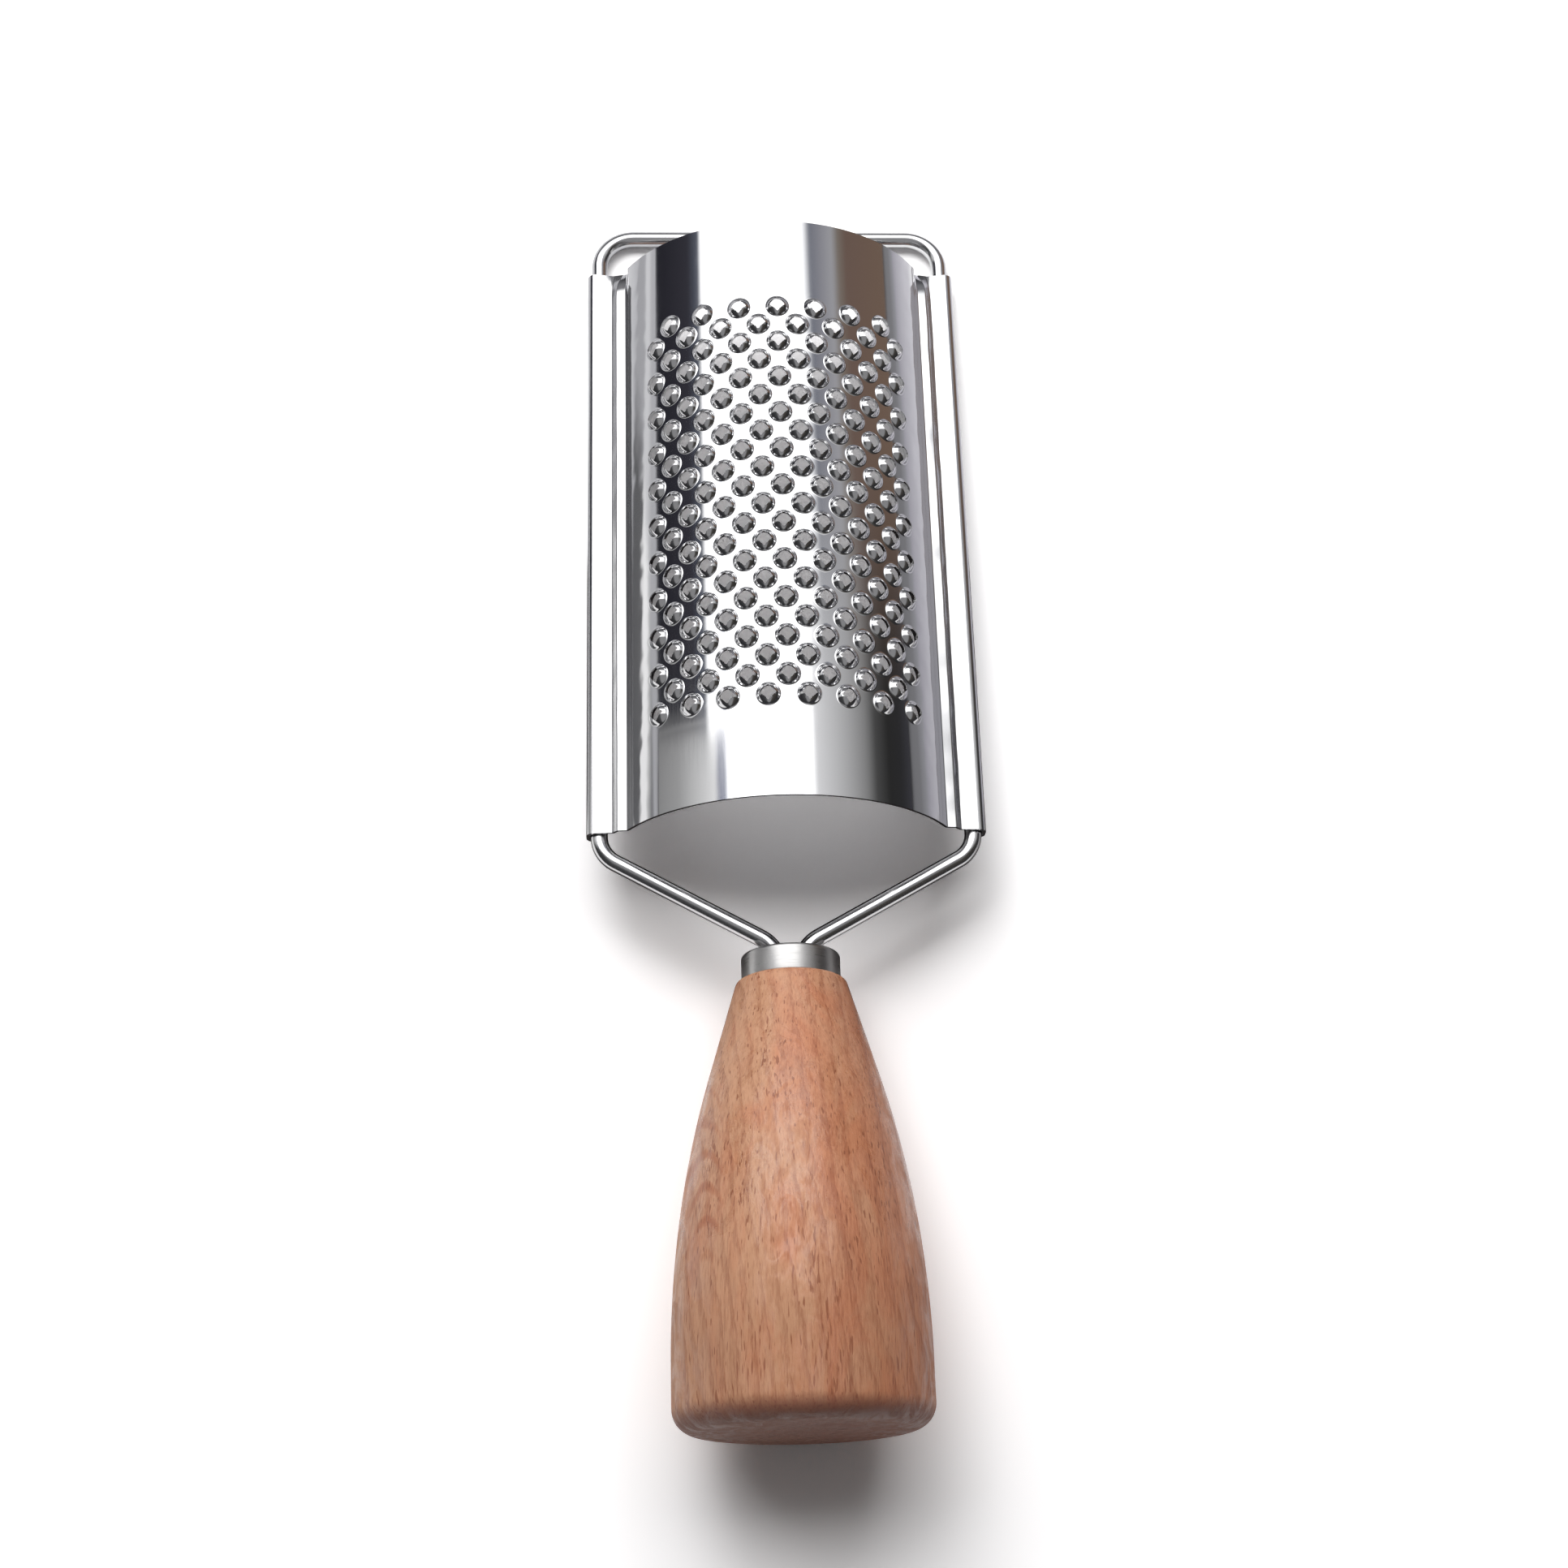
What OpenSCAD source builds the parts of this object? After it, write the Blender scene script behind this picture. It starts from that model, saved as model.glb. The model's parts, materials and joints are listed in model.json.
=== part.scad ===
// Hand grater with a half-round perforated steel sheet, a bent wire frame and a turned beech handle.
// The tool is modelled along Y from the front of the ferrule at zero, with the plane of the wire at z = 0,
// and is then laid down as it rests on a table: on the top bar of its frame and on the belly of its handle.

/* [Wire frame] */
// Width over the rolled edges of the sheet
frame_w = 70; // [60:0.5:80]
// Diameter of the frame wire
wire_d = 3; // [2.4:0.1:3.4]
// Reach of the top bar beyond the sheet
bar_reach = 10; // [9:0.5:16]
// Centre-line radius of the two corners at the top bar
corner_bend_r = 6.5; // [5:0.25:8]
// Centre-line radius of the bends where the arms leave the sheet
arm_bend_r = 5.5; // [4:0.25:7]
// Centre-line radius of the bends at the neck
neck_bend_r = 6; // [4.5:0.25:7]
// Height of the corner of the neck bend over the front of the ferrule
neck_corner_h = 1.7; // [1.2:0.1:2.4]
// Distance from the front of the ferrule to the sheet
neck_l = 22.2; // [20:0.2:30]
// Space between the two tangs
tang_space = 0.8; // [0.5:0.1:1.2]
// Length of the tangs behind the front of the ferrule
tang_l = 38; // [25:1:55]

/* [Grating sheet] */
// Length of the sheet
sheet_l = 113.5; // [100:0.5:130]
// Thickness of the sheet
sheet_t = 0.5; // [0.4:0.05:0.6]
// Height of the crown of the arch over the plane of the wire
crown_h = 19.8; // [17:0.1:23]
// Centre-line radius of the fold between the arch and the rolled edge
fold_mid_r = 0.6; // [0.5:0.05:0.9]
// Gap between the wire and the sheet rolled round it
curl_gap = 0.25; // [0.15:0.05:0.3]
// Angle below the horizontal where the rolled edge ends on its underside
curl_end_angle = 110; // [60:5:120]

/* [Teeth] */
// Number of rows of teeth along the sheet
tooth_rows = 22; // [10:1:24]
// Teeth in the row nearest to the top bar; every second row has one more
tooth_cols = 7; // [3:1:7]
// Distance between rows
row_pitch = 3.67; // [3.4:0.01:3.9]
// Plain strip of the arch on each side of the teeth, to the centre of the next tooth that would follow
side_margin = 10.93; // [9.5:0.01:13]
// Shift of the field of teeth from the middle of the sheet towards the top bar
field_shift = 0.3; // [0:0.1:2]
// Radius of a tooth at its foot
tooth_foot_r = 2.1; // [1.9:0.05:2.2]
// Height of the four points of a tooth over the sheet
tooth_h = 1; // [0.8:0.05:1.2]
// Distance between opposite sides of the square hole in a tooth
hole_w = 2.05; // [1.9:0.05:2.4]

/* [Ferrule] */
// Outer radius of the ferrule
ferrule_r = 8.5; // [8:0.1:8.8]
// Length of the ferrule
ferrule_l = 4.6; // [4:0.1:8]
// Wall of the ferrule
ferrule_wall = 0.7; // [0.5:0.05:1]
// Width of the opening in the front of the ferrule beyond the bore
mouth_spare = 0.7; // [0.3:0.1:1.5]
// Rounding of the front edge of the ferrule
ferrule_round_r = 0.6; // [0.3:0.05:0.7]

/* [Handle] */
// Length of the handle behind the ferrule
handle_l = 74.7; // [72:0.5:90]
// Radius of the handle at its belly
belly_r = 21.2; // [20.5:0.1:22]
// Distance from the belly to the butt
belly_back = 10.7; // [8:0.1:14]
// Distance behind the ferrule at which the cone of the handle would reach the belly's radius
cone_s = 39.84; // [36:0.02:44]
// Width of the shoulder from the ferrule to where the cone would meet its end
shoulder_w = 0.9; // [0.6:0.1:1.4]
// Rounding of the edge of the butt
butt_round_r = 4; // [2:0.25:6]
// Glue between the tangs and the wall of the bore
glue_w = 0.6; // [0.4:0.05:0.9]
// Depth of the bore beyond the tangs
bore_spare = 1.5; // [0.5:0.5:4]
// Gap between pieces that are glued or pushed together
fit_gap = 0.1; // [0.05:0.01:0.15]

/* [Hidden] */

// Angle of one step on the arch, on the rolled edges and on the round edges
arch_step = 3;
curl_step = 12;
round_step = 10;
// Angle of one step in the bends of the wire, and the number of its flat sides
bend_step = 12;
wire_sides = 20;
// Steps on the long curve of the belly
belly_steps = 14;
// Overrun of every cut
cut_over = 1;

wire_r = wire_d / 2;
curl_in_r = wire_r + curl_gap;
curl_out_r = curl_in_r + sheet_t;
curl_mid_r = curl_in_r + sheet_t / 2;
side_x = frame_w / 2 - curl_out_r;
tang_x = (wire_d + tang_space) / 2;
sheet_end = neck_l + sheet_l;
bar_y = sheet_end + bar_reach;

// The arm is tangent to the bend beside the sheet and runs to the corner of the neck bend.
arm_bend_x = side_x - arm_bend_r;
arm_dx = arm_bend_x - tang_x;
arm_dy = neck_l - neck_corner_h;
arm_angle = atan2(arm_dy, arm_dx) - asin(arm_bend_r / norm([arm_dx, arm_dy]));
bend_turn = 90 - arm_angle;
neck_bend_y = neck_corner_h - neck_bend_r * tan(bend_turn / 2);

// The arch meets the rolled edge in a hairpin fold on the line between their two centres.
fold_reach = 2 * fold_mid_r + curl_mid_r - sheet_t / 2;
arch_r = (side_x * side_x + crown_h * crown_h - fold_reach * fold_reach) / (2 * (crown_h + fold_reach));
arch_z = crown_h - arch_r;
arch_in_r = arch_r - sheet_t;
arch_mid_r = arch_r - sheet_t / 2;
foot_angle = 90 - atan2(-arch_z, side_x);
fold_out_r = fold_mid_r + sheet_t / 2;
fold_in_r = fold_mid_r - sheet_t / 2;
fold_place = arch_mid_r + fold_mid_r;
fold_centre = [fold_place * sin(foot_angle), arch_z + fold_place * cos(foot_angle)];
foot_dir = 90 - foot_angle;

// A tooth is a cone whose walls meet the square hole in four points.
field_margin = (sheet_l - (tooth_rows - 1) * row_pitch) / 2 - field_shift;
margin_angle = side_margin / arch_r * 180 / PI;
col_angle = 2 * (foot_angle - margin_angle) / (tooth_cols + 1);
hole_corner_r = hole_w / 2 * sqrt(2);
tooth_slope = (tooth_foot_r - hole_w / 2) / tooth_h;
tooth_root = sheet_t / 2;
tooth_spare = hole_w / 4 / tooth_slope;

// The cone is tangent to the shoulder and to the long curve of the belly.
belly_s = handle_l - belly_back;
taper_angle = atan2(belly_r - ferrule_r - shoulder_w, cone_s);
shoulder_r = shoulder_w / (1 / cos(taper_angle) - tan(taper_angle));
belly_curve_r = (belly_s - cone_s) / tan(taper_angle / 2);

// Fits round the tangs
bore_r = tang_x + wire_r + glue_w;
ferrule_mouth_r = bore_r + mouth_spare;
tenon_r = ferrule_r - ferrule_wall - fit_gap;
tenon_s = ferrule_wall + fit_gap;
plug_s = max(tenon_s, -neck_bend_y);
tang_hole_r = wire_r + fit_gap;
bore_end_s = tang_l + bore_spare;

// Rest on the table: the top bar and the big circle of the belly touch one line.
rest_dy = bar_y + ferrule_l + belly_s;
rest_dz = belly_r - belly_curve_r;
rest_tilt = atan2(rest_dz, rest_dy) + asin((belly_curve_r - wire_r) / norm([rest_dy, rest_dz]));
rest_lift = bar_y * sin(rest_tilt) + wire_r;
butt_y = ferrule_l + handle_l;
far_y = bar_y * cos(rest_tilt) + wire_r;
near_y = (butt_y - butt_round_r) * cos(rest_tilt) + (belly_r - butt_round_r) * sin(rest_tilt) + butt_round_r;
rest_shift = (near_y - far_y) / 2;

// Points of an arc from angle a0 to angle a1 in equal steps of about the given size
function arc(centre, r, a0, a1, step) =
    let (n = max(1, ceil(abs(a1 - a0) / step)))
    [for (i = [0:n]) let (a = a0 + (a1 - a0) * i / n) centre + r * [cos(a), sin(a)]];

function reversed(points) = [for (i = [len(points) - 1:-1:0]) points[i]];
function mirrored(points) = [for (p = points) [-p[0], p[1]]];

// One face of the right half of the sheet, from the crown to the end of the rolled edge
function half_face(arch_face_r, fold_face_r, curl_face_r) = concat(
    arc([0, arch_z], arch_face_r, 90, foot_dir, arch_step),
    arc(fold_centre, fold_face_r, foot_dir + 180, foot_dir + 360, curl_step),
    arc([side_x, 0], curl_face_r, foot_dir + 180, -curl_end_angle, curl_step)
);

function tail(points) = [for (i = [1:len(points) - 1]) points[i]];

// Cross-section of the sheet with its arch, folds and rolled edges
module sheet_section() {
    outer = half_face(arch_r, fold_in_r, curl_out_r);
    inner = half_face(arch_in_r, fold_out_r, curl_in_r);
    polygon(concat(
        outer,
        reversed(inner),
        mirrored(tail(inner)),
        reversed(mirrored(tail(outer)))
    ));
}

// Puts its children on the arch at every tooth, pointing outward from the centre of the arch
module at_teeth() {
    for (row = [0:tooth_rows - 1]) {
        cols = tooth_cols + row % 2;
        translate([0, sheet_end - field_margin - row * row_pitch, arch_z])
            for (col = [0:cols - 1])
                rotate([0, (col - (cols - 1) / 2) * col_angle, 0])
                    children();
    }
}

// Raised wall of one tooth, from inside the sheet to above its points
module tooth_wall() {
    translate([0, 0, arch_r - tooth_root])
        cylinder(
            h = tooth_root + tooth_h + tooth_spare,
            r1 = tooth_foot_r + tooth_root * tooth_slope,
            r2 = hole_w / 4,
            $fn = 32
        );
}

// Square hole of one tooth, its corners along and across the sheet
module tooth_hole() {
    translate([0, 0, arch_in_r - cut_over])
        cylinder(
            h = sheet_t + tooth_h + tooth_spare + 2 * cut_over,
            r = hole_corner_r,
            $fn = 4
        );
}

// Polished sheet: arch, folds, rolled edges and punched teeth in one piece
module grating_sheet() {
    color("silver")
        difference() {
            union() {
                translate([0, sheet_end, 0])
                    rotate([90, 0, 0])
                        linear_extrude(sheet_l)
                            sheet_section();
                at_teeth() tooth_wall();
            }
            at_teeth() tooth_hole();
        }
}

// Places along a bend of the wire as [x, y, heading]; it turns left where the heading grows
function bend(centre, r, heading0, heading1) =
    let (n = ceil(abs(heading1 - heading0) / bend_step), side = sign(heading1 - heading0))
    [for (i = [0:n])
        let (h = heading0 + (heading1 - heading0) * i / n)
        [centre[0] + side * r * sin(h), centre[1] - side * r * cos(h), h]];

// Right half of the frame wire, from the end of its tang to the end of its corner bend
half_route = concat(
    [[tang_x, -tang_l, 90]],
    bend([tang_x + neck_bend_r, neck_bend_y], neck_bend_r, 90, arm_angle),
    bend([arm_bend_x, neck_l], arm_bend_r, arm_angle, 90),
    bend([side_x - corner_bend_r, bar_y - corner_bend_r], corner_bend_r, 90, 180)
);
route = concat(half_route, [for (p = reversed(half_route)) [-p[0], p[1], 360 - p[2]]]);

// Ring of points round the wire at one place of its route
function ring(p) =
    [for (k = [0:wire_sides - 1])
        let (a = 360 * k / wire_sides, out = wire_r * cos(a))
        [p[0] - out * sin(p[2]), p[1] + out * cos(p[2]), wire_r * sin(a)]];

// Frame: one wire, bent, with both tangs in the handle
module wire_frame() {
    last = len(route) - 1;
    color("gainsboro")
        polyhedron(
            points = [for (p = route) each ring(p)],
            faces = concat(
                [[for (k = [0:wire_sides - 1]) k]],
                [for (i = [0:last - 1], k = [0:wire_sides - 1])
                    let (next = (k + 1) % wire_sides, near = i * wire_sides, far = near + wire_sides)
                    [near + k, far + k, far + next, near + next]],
                [[for (k = [wire_sides - 1:-1:0]) last * wire_sides + k]]
            )
        );
}

// Turns an outline of radius and distance behind the front of the ferrule into a solid on the handle's axis
module turned() {
    rotate([90, 0, 0])
        rotate_extrude($fn = 120)
            children();
}

// Drawn steel cap over the tenon of the handle
module ferrule() {
    inner_r = ferrule_r - ferrule_wall;
    color("darkgray")
        turned()
            polygon(concat(
                [[ferrule_mouth_r, ferrule_wall], [ferrule_mouth_r, 0]],
                arc([ferrule_r - ferrule_round_r, ferrule_round_r], ferrule_round_r, -90, 0, round_step),
                [[ferrule_r, ferrule_l], [inner_r, ferrule_l], [inner_r, ferrule_wall]]
            ));
}

// Profile of the handle behind the ferrule: shoulder, cone, belly and rounded butt
function handle_profile() = concat(
    arc([ferrule_r, ferrule_l + shoulder_r], shoulder_r, -90, -taper_angle, round_step),
    arc([belly_r - belly_curve_r, ferrule_l + belly_s], belly_curve_r, -taper_angle, 0,
        taper_angle / belly_steps),
    arc([belly_r - butt_round_r, butt_y - butt_round_r], butt_round_r, 0, 90, round_step)
);

// Turned beech handle with its tenon and the bore for the tangs
module handle() {
    color("burlywood")
        difference() {
            turned()
                polygon(concat(
                    [[0, tenon_s], [tenon_r, tenon_s], [tenon_r, ferrule_l]],
                    handle_profile(),
                    [[0, butt_y]]
                ));
            translate([0, cut_over, 0])
                rotate([90, 0, 0])
                    cylinder(h = bore_end_s + cut_over, r = bore_r, $fn = 48);
        }
}

// Hardened glue in the bore, with the two tangs set in it
module bond_plug() {
    plug_l = bore_end_s - plug_s - fit_gap;
    color("tan")
        difference() {
            translate([0, -plug_s, 0])
                rotate([90, 0, 0])
                    cylinder(h = plug_l, r = bore_r - fit_gap, $fn = 48);
            for (side = [-1, 1])
                translate([side * tang_x, cut_over, 0])
                    rotate([90, 0, 0])
                        cylinder(h = tang_l + fit_gap + cut_over, r = tang_hole_r, $fn = 48);
        }
}

// Lays the tool on the table
module laid() {
    translate([0, rest_shift, rest_lift])
        rotate([-rest_tilt, 0, 0])
            children();
}

laid() grating_sheet();
laid() wire_frame();
laid() ferrule();
laid() handle();
laid() bond_plug();
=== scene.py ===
"""Half-round hand grater: a polished sheet on a bent wire frame, a ferrule and a turned beech handle."""

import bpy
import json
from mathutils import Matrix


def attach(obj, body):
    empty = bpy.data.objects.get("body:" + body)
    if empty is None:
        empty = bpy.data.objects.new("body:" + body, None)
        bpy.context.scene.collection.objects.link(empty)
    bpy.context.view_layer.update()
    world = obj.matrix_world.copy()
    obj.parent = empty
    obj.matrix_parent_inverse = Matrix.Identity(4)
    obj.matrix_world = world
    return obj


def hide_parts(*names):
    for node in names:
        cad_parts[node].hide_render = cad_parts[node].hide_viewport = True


bl_info = {
    "name": "Half-Round Hand Grater",
    "version": (1, 0, 0),
    "blender": (4, 5, 0),
    "location": "View3D > Sidebar > Grater",
    "description": "Dresses the packed hand grater: sheet with teeth, wire frame, ferrule, handle and stage",
    "category": "Object",
}

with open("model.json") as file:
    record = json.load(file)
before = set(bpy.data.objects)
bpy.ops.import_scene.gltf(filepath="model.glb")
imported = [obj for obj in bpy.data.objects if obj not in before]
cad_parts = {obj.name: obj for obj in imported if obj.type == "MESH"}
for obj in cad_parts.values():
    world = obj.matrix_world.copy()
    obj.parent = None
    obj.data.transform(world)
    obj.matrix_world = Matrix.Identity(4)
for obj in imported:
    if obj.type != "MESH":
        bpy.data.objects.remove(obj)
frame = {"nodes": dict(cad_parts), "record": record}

import json
import random
from math import asin, atan2, ceil, copysign, cos, hypot, pi, radians, sin, sqrt, tan

import bpy
from bpy.props import FloatProperty, FloatVectorProperty, IntProperty, PointerProperty
from mathutils import Matrix, Vector, noise

# One millimetre in the scene's metres
MM = 0.001
ROOT = "root"
TURN = 2 * pi
# Tolerance for a place on the edge of the field of teeth
SLACK = 0.001 * MM
# Steps round the wire, along its bends, and round the turned pieces
WIRE_SIDES, WIRE_STEP = 40, radians(4)
FERRULE_SIDES, HANDLE_SIDES = 160, 192
# Edges sharper than this stay sharp in the steel sheet and wire, and in the turned pieces
SHEET_SHARP, TURNED_SHARP = radians(50), radians(40)


def number(name, description, value, unit="NONE"):
    """Setting for a number, with or without a unit."""
    return FloatProperty(name=name, description=description, default=value, unit=unit)


def in_mm(name, description, value):
    """Setting for a length, given in millimetres."""
    return number(name, description, value * MM, "LENGTH")


def in_degrees(name, description, value):
    """Setting for an angle, given in degrees."""
    return number(name, description, radians(value), "ROTATION")


def as_colour(name, description, *rgb):
    """Setting for an opaque colour."""
    return FloatVectorProperty(name=name, description=description, subtype="COLOR", size=4, default=(*rgb, 1))


class GraterSheetSettings(bpy.types.PropertyGroup):
    """Sizes of the punched sheet, its flanges and its rolled edges"""
    length: in_mm("Length", "Length of the sheet along the tool", 113.5)
    start: in_mm("Start", "Distance of the sheet from the front of the ferrule", 22.2)
    thickness: in_mm("Thickness", "Thickness of the sheet", 0.5)
    arch_radius: in_mm("Arch radius", "Outer radius of the half-round arch", 32)
    crown_height: in_mm("Crown height", "Height of the arch over the plane of the wire", 19.8)
    curl_gap: in_mm("Rolled edge gap", "Gap between the wire and the sheet rolled round it", 0.25)
    curl_end: in_degrees("Rolled edge end", "Angle below the horizontal where the roll ends", 110)
    flange_slope: in_degrees("Flange slope", "Slope of the flange at the foot of the arch", 4)
    step_slope: in_degrees("Step slope", "Slope of the step from the flange to the rolled edge", 50)
    step_length: in_mm("Step length", "Length of the step beside the flange", 1.4)
    strip_slope: in_degrees("Strip slope", "Slope of the strip that leads to the rolled edge", 2)
    strip_length: in_mm("Strip length", "Length of the strip that leads to the rolled edge", 3)
    roll_corner: in_mm("Roll corner", "Radius of the outer bends of the rolled edge", 1.6)
    rows: IntProperty(name="Rows", description="Rows of teeth along the sheet", default=22)
    columns: IntProperty(name="Columns", description="Teeth in the row next to the top bar", default=7)
    row_pitch: in_mm("Row pitch", "Distance between rows of teeth", 3.67)
    column_pitch: in_mm("Column pitch", "Distance between teeth along the arch", 6.98)
    field_shift: in_mm("Field shift", "Shift of the teeth towards the top bar", 0.3)
    tooth_radius: in_mm("Tooth radius", "Radius of a tooth at its foot", 2.1)
    tooth_height: in_mm("Tooth height", "Height of the points of a tooth", 1)
    hole_width: in_mm("Hole width", "Distance between opposite sides of the square hole", 2.05)


class GraterWireSettings(bpy.types.PropertyGroup):
    """Sizes of the bent wire of the frame"""
    diameter: in_mm("Diameter", "Diameter of the wire", 3)
    width: in_mm("Frame width", "Width over the rolled edges of the sheet", 70)
    bar_reach: in_mm("Bar reach", "Reach of the top bar beyond the sheet", 10)
    corner_radius: in_mm("Corner radius", "Bend of the corners at the top bar", 6.5)
    arm_radius: in_mm("Arm radius", "Bend where the arms leave the sheet", 5.5)
    neck_radius: in_mm("Neck radius", "Bend at the neck", 6)
    neck_height: in_mm("Neck height", "Corner of the neck bend over the ferrule", 1.7)
    tang_gap: in_mm("Tang gap", "Distance between the middles of the two tangs", 3.8)
    tang_length: in_mm("Tang length", "Length of the tangs behind the ferrule's front", 38)


class GraterHandleSettings(bpy.types.PropertyGroup):
    """Sizes of the turned handle and its ferrule"""
    ferrule_radius: in_mm("Ferrule radius", "Outer radius of the ferrule", 8.5)
    ferrule_length: in_mm("Ferrule length", "Length of the ferrule", 4.6)
    ferrule_wall: in_mm("Ferrule wall", "Wall of the ferrule", 0.7)
    mouth_radius: in_mm("Mouth radius", "Opening in the front of the ferrule", 4.7)
    lip_radius: in_mm("Lip radius", "Rounding of the ferrule's front edge", 0.6)
    length: in_mm("Handle length", "Length of the wood behind the ferrule", 74.7)
    belly_radius: in_mm("Belly radius", "Radius of the handle at its belly", 21.2)
    belly_place: in_mm("Belly place", "Distance of the belly behind the ferrule", 64)
    neck_radius: in_mm("Neck radius", "Where the cone would meet the ferrule", 9.4)
    taper: in_degrees("Taper", "Angle of the cone of the handle", 16.5)
    butt_rounding: in_mm("Butt rounding", "Rounding of the edge of the butt", 4)
    bore_radius: in_mm("Bore radius", "Radius of the bore for the tangs", 4)
    bore_depth: in_mm("Bore depth", "Depth of the bore behind the ferrule's front", 39.5)
    fit_gap: in_mm("Fit gap", "Gap between pieces that are pushed together", 0.1)


class GraterFinishSettings(bpy.types.PropertyGroup):
    """Colours and gloss of the finishes"""
    steel: as_colour("Polished steel", "Colour of the sheet and the wire", 0.86, 0.86, 0.87)
    ferrule: as_colour("Ferrule steel", "Colour of the ferrule", 0.74, 0.73, 0.72)
    beech_light: as_colour("Light beech", "Colour of the early wood", 0.53, 0.262, 0.15)
    beech_dark: as_colour("Dark beech", "Colour of the late wood", 0.37, 0.155, 0.083)
    pore: as_colour("Pores", "Colour of the pores of the wood", 0.22, 0.07, 0.032)
    end_grain: as_colour("End grain", "Colour of the end grain at the butt", 0.22, 0.085, 0.06)
    glue: as_colour("Glue", "Colour of the hardened glue", 0.42, 0.3, 0.18)
    sheet_gloss: number("Sheet roughness", "Roughness of the polished sheet", 0.07)
    wire_gloss: number("Wire roughness", "Roughness of the polished wire", 0.16)


class GraterStageSettings(bpy.types.PropertyGroup):
    """Camera, lamps and surroundings"""
    camera_place: FloatVectorProperty(name="Camera", description="Place of the camera", subtype="TRANSLATION",
                                      default=(-21.3 * MM, -118.5 * MM, 414.5 * MM))
    camera_turn: FloatVectorProperty(name="Camera turn", description="Tilt, roll and swing of the camera",
                                     subtype="EULER",
                                     default=(radians(16.26), radians(-2.88), radians(-0.55)))
    lens: number("Lens", "Focal length in millimetres on a 36 mm frame", 54.52)
    ambient: number("Ambient", "Even light from all round", 0.092)
    left_power: number("Left lamp", "Power of the lamp at the far left", 7, "POWER")
    far_power: number("Far lamp", "Power of the lamp beyond the tool", 13.3, "POWER")
    floor: as_colour("Floor", "Colour of the floor", 0.95, 0.94, 0.945)
    paper_white: number("Paper white", "How much lighter the camera sees the floor", 1.3)


def tool_frame():
    """Where the tool lies: X across, Y towards the top bar, origin at the front of the ferrule."""
    handle = bpy.context.scene.grater_handle
    butt = next(m for m in frame["record"]["mounts"] if m["name"] == "butt")
    along = -Vector(butt["axis"]).normalized()
    across = Vector((1, 0, 0))
    up = across.cross(along)
    origin = Vector(butt["pos_m"]) + along * (handle.ferrule_length + handle.length)
    placed = Matrix((across, along, up)).transposed().to_4x4()
    placed.translation = origin
    return placed


def add_piece(name, points, faces, sharp_angle, material, node):
    """Makes one piece from points in the tool's own frame and puts it in place of a node of the frame."""
    mesh = bpy.data.meshes.new(name)
    mesh.from_pydata(points, [], faces)
    mesh.transform(tool_frame())
    mesh.validate()
    mesh.shade_smooth()
    mesh.set_sharp_from_angle(angle=sharp_angle)
    mesh.materials.append(material)
    piece = bpy.data.objects.new(name, mesh)
    bpy.context.scene.collection.objects.link(piece)
    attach(piece, ROOT)
    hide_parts(node)


def arc(centre, radius, start, end, step):
    """Points of an arc in a plane, from one angle to another, in steps of about the given angle."""
    count = max(1, ceil(abs(end - start) / step))
    angles = [start + (end - start) * i / count for i in range(count + 1)]
    return [(centre[0] + radius * cos(a), centre[1] + radius * sin(a)) for a in angles]


def turned(profile, segments):
    """Closed solid of revolution about the tool's Y axis from points of radius and distance behind the ferrule."""
    points = []
    faces = []
    rings = []
    for radius, behind in profile:
        first = len(points)
        if radius == 0:
            points.append((0, -behind, 0))
            rings.append([first] * segments)
            continue
        for k in range(segments):
            a = TURN * k / segments
            points.append((radius * cos(a), -behind, radius * sin(a)))
        rings.append([first + k for k in range(segments)])
    for near, far in zip(rings, rings[1:] + rings[:1]):
        for k in range(segments):
            after = (k + 1) % segments
            corners = (near[k], near[after], far[after], far[k])
            face = list(dict.fromkeys(corners))
            if len(face) > 2:
                faces.append(face)
    return points, faces


# Sheet

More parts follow.
